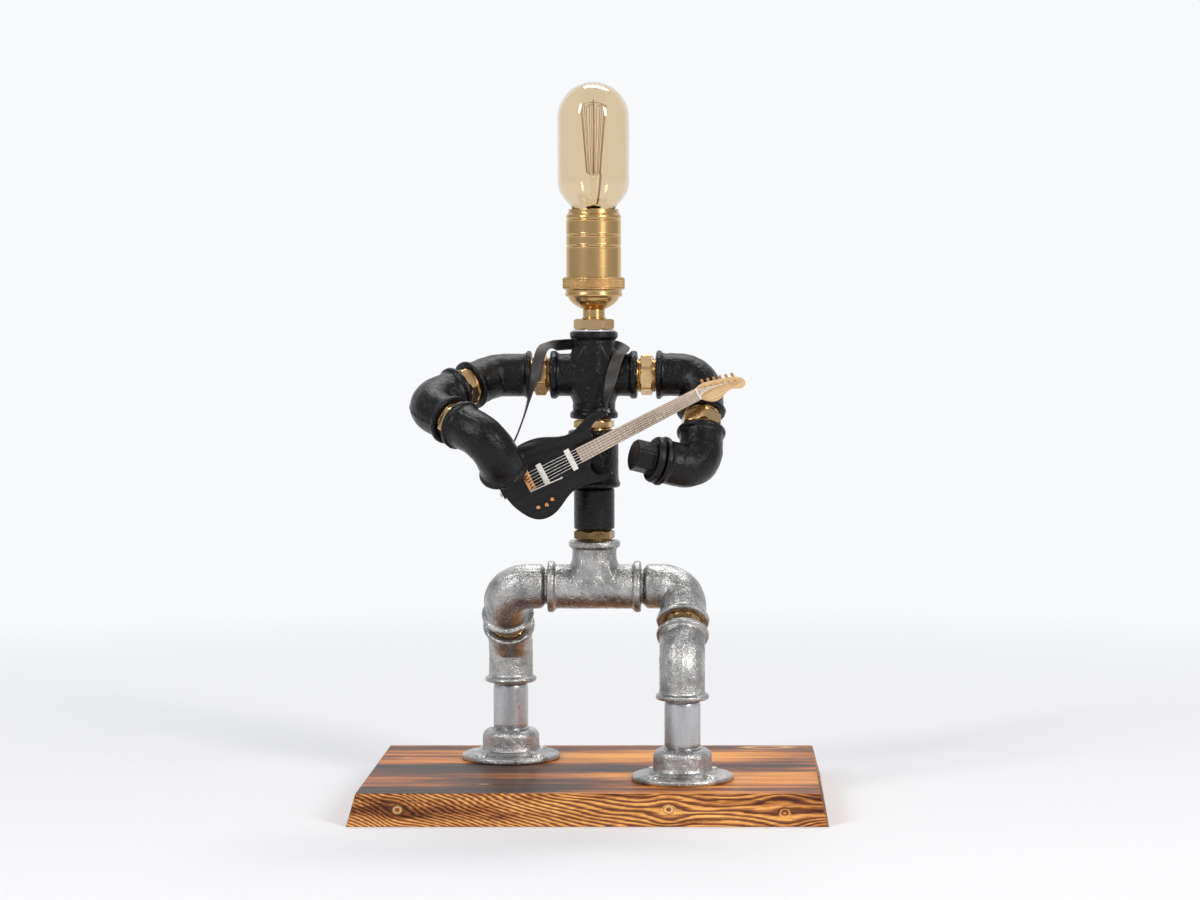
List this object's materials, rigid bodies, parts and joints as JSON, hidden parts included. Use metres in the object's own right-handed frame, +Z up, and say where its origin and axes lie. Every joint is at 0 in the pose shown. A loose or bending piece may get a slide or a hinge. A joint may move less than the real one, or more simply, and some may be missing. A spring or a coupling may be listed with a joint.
{
  "type": "table lamp",
  "caption": "Pipe-fitting table lamp: a striding figure with a bulb for a head, swivelling arms and a small strapped guitar on a wooden base",
  "frame": {"origin": "middle of the wooden base's underside, on the surface that the lamp stands on", "axes": "+Z up, +X to the viewer's right along the base's long side, +Y away from the viewer"},
  "size_m": [0.277, 0.192, 0.4306],
  "materials": {
    "burnt_pine": "brushed and scorched pine, satin",
    "galvanised_iron": "hot-dip galvanised malleable iron, rough cast",
    "galvanised_tube": "galvanised steel tube",
    "black_iron": "black malleable iron, semi-gloss",
    "brass": "turned brass, bright",
    "dark_brass": "tarnished brass",
    "steel": "bright steel",
    "tinted_glass": "smoky amber lamp glass",
    "clear_glass": "clear lamp glass",
    "filament": "dull tungsten and copper wire",
    "porcelain": "glazed steatite",
    "black_lacquer": "black open-grain lacquer",
    "maple": "oiled maple",
    "cream_plastic": "cream plastic",
    "gold_plate": "gold and copper plated metal",
    "strings": "bright wound wire",
    "leather": "dark oiled leather",
    "rubber": "black rubber"
  },
  "bodies": {
    "stand": {"base_board": "burnt_pine", "cable_grommet": "rubber", "foot_flanges": "galvanised_iron", "foot_screws": "steel", "leg_pipes": "galvanised_tube", "front_knee_elbow": "galvanised_iron", "rear_knee_elbow": "galvanised_iron", "knee_nipples": "brass", "hip_elbows": "galvanised_iron", "hip_tee": "galvanised_iron", "leg_lead": "rubber"},
    "torso": {"waist_nipple": "dark_brass", "torso_sleeve": "black_iron", "torso_coupling": "black_iron", "chest_nipple": "brass", "chest_cross": "black_iron", "shoulder_nipples": "brass", "neck_washer": "steel", "neck_bushing": "brass", "holder_stem": "brass", "holder_locknut": "brass", "holder_cap": "brass", "holder_ring": "brass", "holder_shell": "brass", "holder_insulator": "porcelain", "holder_thread_shell": "brass", "holder_contact": "brass", "terminal_screws": "brass", "guitar_body": "black_lacquer", "guitar_neck": "maple", "guitar_fretboard": "maple", "guitar_frets": "steel", "guitar_nut": "cream_plastic", "guitar_pickups": "cream_plastic", "guitar_bridge": "gold_plate", "guitar_strings": "strings", "guitar_knobs": "gold_plate", "guitar_tremolo_arm": "gold_plate", "guitar_tuners": "gold_plate", "guitar_stud": "steel", "strap_buttons": "steel", "strap": "leather", "torso_lead": "rubber"},
    "strum_upper": {"strum_shoulder_elbow": "black_iron", "strum_elbow_nipple": "brass"},
    "strum_fore": {"strum_forearm_elbow": "black_iron", "strum_wrist_nipple": "brass"},
    "strum_hand": {"strum_hand_elbow": "black_iron"},
    "fret_upper": {"fret_shoulder_elbow": "black_iron", "fret_elbow_nipple": "brass"},
    "fret_hand": {"fret_hand_elbow": "black_iron", "fret_hand_plug": "black_iron"},
    "bulb_rise": {"bulb_contact": "brass"},
    "bulb": {"bulb_cap": "brass", "bulb_insulator": "porcelain", "bulb_glass": "tinted_glass", "bulb_mount": "clear_glass", "bulb_filament": "filament", "bulb_supports": "filament"}
  },
  "joints": [
    {"name": "waist_turn", "type": "hinge", "parent": "stand", "child": "torso", "pos_m": [0, 0, 0.16], "axis": [0, 0, 1], "range_deg": [-30, 30]},
    {"name": "strum_shoulder", "type": "hinge", "parent": "torso", "child": "strum_upper", "pos_m": [-0.0587, 0, 0.25596], "axis": [1, 0, 0], "range_deg": [-45, 4]},
    {"name": "strum_elbow", "type": "hinge", "parent": "strum_upper", "child": "strum_fore", "pos_m": [-0.09929, -0.03708, 0.23945], "axis": [-0.7071, -0.646, -0.2876], "range_deg": [-25, 25]},
    {"name": "strum_wrist", "type": "hinge", "parent": "strum_fore", "child": "strum_hand", "pos_m": [-0.05659, -0.07552, 0.22081], "axis": [0.7069, -0.6364, -0.3086], "range_deg": [-30, 30]},
    {"name": "fret_shoulder", "type": "hinge", "parent": "torso", "child": "fret_upper", "pos_m": [0.0644, 0, 0.25596], "axis": [1, 0, 0], "range_deg": [0, 40]},
    {"name": "fret_elbow", "type": "hinge", "parent": "fret_upper", "child": "fret_hand", "pos_m": [0.0644, -0.03514, 0.2008], "axis": [0, -0.5373, -0.8434], "range_deg": [-25, 25]},
    {"name": "bulb_unscrew_rise", "type": "slide", "parent": "torso", "child": "bulb_rise", "axis": [0, 0, 1], "range_m": [0, 0.01815]},
    {"name": "bulb_turn", "type": "hinge", "parent": "bulb_rise", "child": "bulb", "pos_m": [0, 0, 0.37], "axis": [0, 0, 1], "range_deg": [0, 1800]}
  ],
  "couplings": [
    {"joint": "bulb_turn", "follows": "bulb_unscrew_rise", "rad_per_m": 1731.4}
  ]
}
